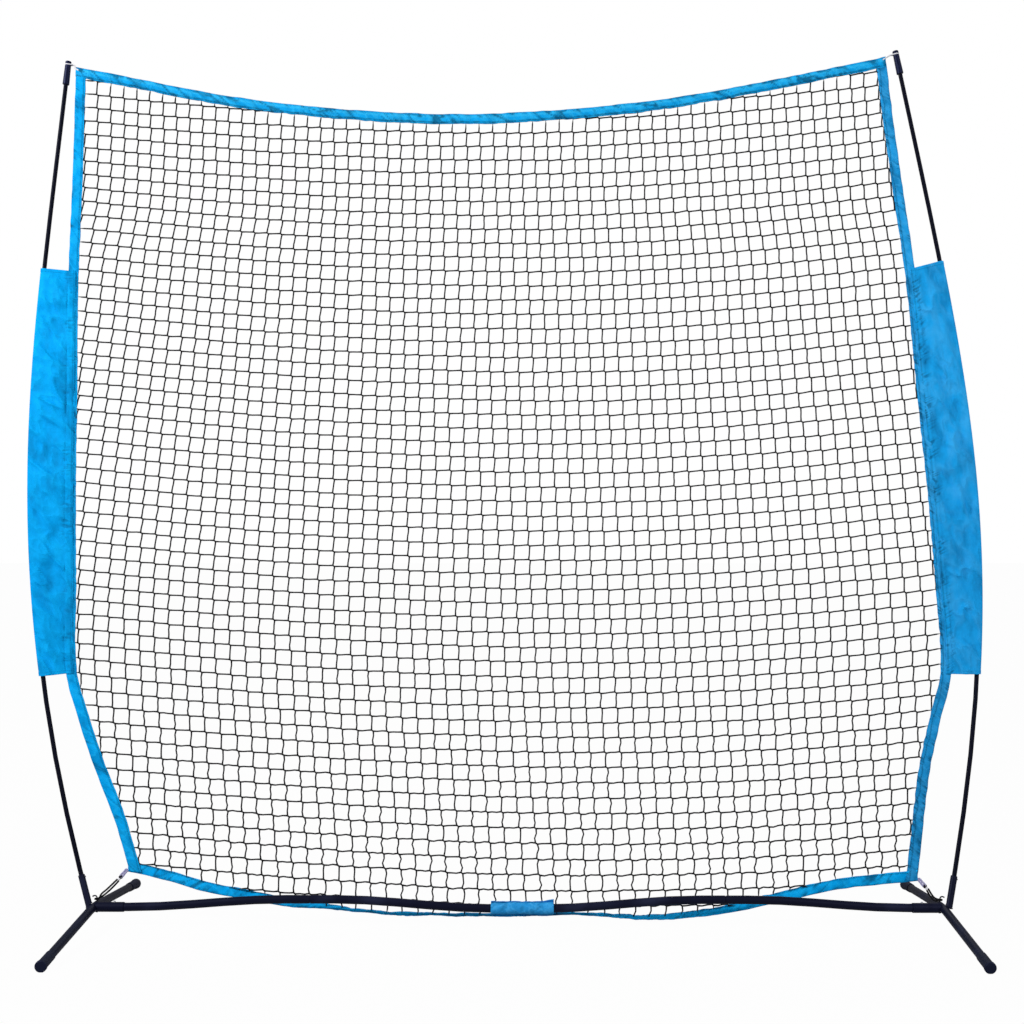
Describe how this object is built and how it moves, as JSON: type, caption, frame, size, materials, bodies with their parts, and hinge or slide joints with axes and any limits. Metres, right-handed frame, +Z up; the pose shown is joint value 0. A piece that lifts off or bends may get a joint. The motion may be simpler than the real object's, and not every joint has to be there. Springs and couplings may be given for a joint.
{
  "type": "cricket backstop net",
  "caption": "Free-standing cricket backstop: a steel base and crossbar carry two outward-bowed poles that lean back and hold a square-mesh net with bound edges and side sleeves.",
  "frame": {"origin": "middle of the overall box, on the ground", "axes": "+X to the right seen from the batter's side, +Y towards the back of the net, +Z up"},
  "size_m": [2.4068, 0.776, 2.1847],
  "materials": {
    "black_steel": "satin black powder coat",
    "zinc_steel": "zinc plated",
    "rubber": "matt black",
    "plastic": "matt black",
    "glass_fibre": "satin black glass fibre",
    "blue_polyester": "plain weave",
    "black_twine": "knotless twine",
    "white_cord": "white",
    "black_elastic": "braided elastic",
    "clear_plastic": "translucent lilac"
  },
  "bodies": {
    "net_assembly": {"bottom_hem": "blue_polyester", "crossbar_wrap": "blue_polyester", "front_left_foot_cap": "rubber", "front_right_foot_cap": "rubber", "left_binding": "blue_polyester", "left_cord_hook": "black_steel", "left_corner_clip": "clear_plastic", "left_corner_cord": "white_cord", "left_corner_elastic": "black_elastic", "left_crimp_bead": "white_cord", "left_crossbar_stub": "black_steel", "left_ferrule_1": "black_steel", "left_ferrule_2": "black_steel", "left_inner_crossbar": "black_steel", "left_leg_tube": "black_steel", "left_outer_crossbar": "black_steel", "left_pole_lower": "glass_fibre", "left_pole_middle": "glass_fibre", "left_pole_sleeve": "blue_polyester", "left_pole_socket": "black_steel", "left_pole_upper": "glass_fibre", "left_socket_spring": "zinc_steel", "left_stub_spring": "zinc_steel", "left_tip_cap": "plastic", "net_mesh": "black_twine", "rear_left_foot_cap": "rubber", "rear_right_foot_cap": "rubber", "right_binding": "blue_polyester", "right_cord_hook": "black_steel", "right_corner_clip": "clear_plastic", "right_corner_cord": "white_cord", "right_corner_elastic": "black_elastic", "right_crimp_bead": "white_cord", "right_crossbar_stub": "black_steel", "right_ferrule_1": "black_steel", "right_ferrule_2": "black_steel", "right_inner_crossbar": "black_steel", "right_leg_tube": "black_steel", "right_outer_crossbar": "black_steel", "right_pole_lower": "glass_fibre", "right_pole_middle": "glass_fibre", "right_pole_sleeve": "blue_polyester", "right_pole_socket": "black_steel", "right_pole_upper": "glass_fibre", "right_socket_spring": "zinc_steel", "right_stub_spring": "zinc_steel", "right_tip_cap": "plastic", "top_hem": "blue_polyester"},
    "left_stub_button": {"left_stub_button": "zinc_steel"},
    "left_socket_button": {"left_socket_button": "zinc_steel"},
    "right_stub_button": {"right_stub_button": "zinc_steel"},
    "right_socket_button": {"right_socket_button": "zinc_steel"}
  },
  "joints": [
    {"name": "left_stub_button_press", "type": "slide", "parent": "net_assembly", "child": "left_stub_button", "axis": [0, 0, -1], "range_m": [0, 0.0041], "stiffness_N_per_m": 400, "springref_m": -0.002, "deforming": ["left_stub_spring"]},
    {"name": "left_socket_button_press", "type": "slide", "parent": "net_assembly", "child": "left_socket_button", "axis": [-0.9442, -0.0936, -0.3159], "range_m": [0, 0.0039], "stiffness_N_per_m": 400, "springref_m": -0.002, "deforming": ["left_socket_spring"]},
    {"name": "right_stub_button_press", "type": "slide", "parent": "net_assembly", "child": "right_stub_button", "axis": [0, 0, -1], "range_m": [0, 0.0041], "stiffness_N_per_m": 400, "springref_m": -0.002, "deforming": ["right_stub_spring"]},
    {"name": "right_socket_button_press", "type": "slide", "parent": "net_assembly", "child": "right_socket_button", "axis": [-0.971, 0.0679, 0.2292], "range_m": [0, 0.0039], "stiffness_N_per_m": 400, "springref_m": -0.002, "deforming": ["right_socket_spring"]}
  ]
}
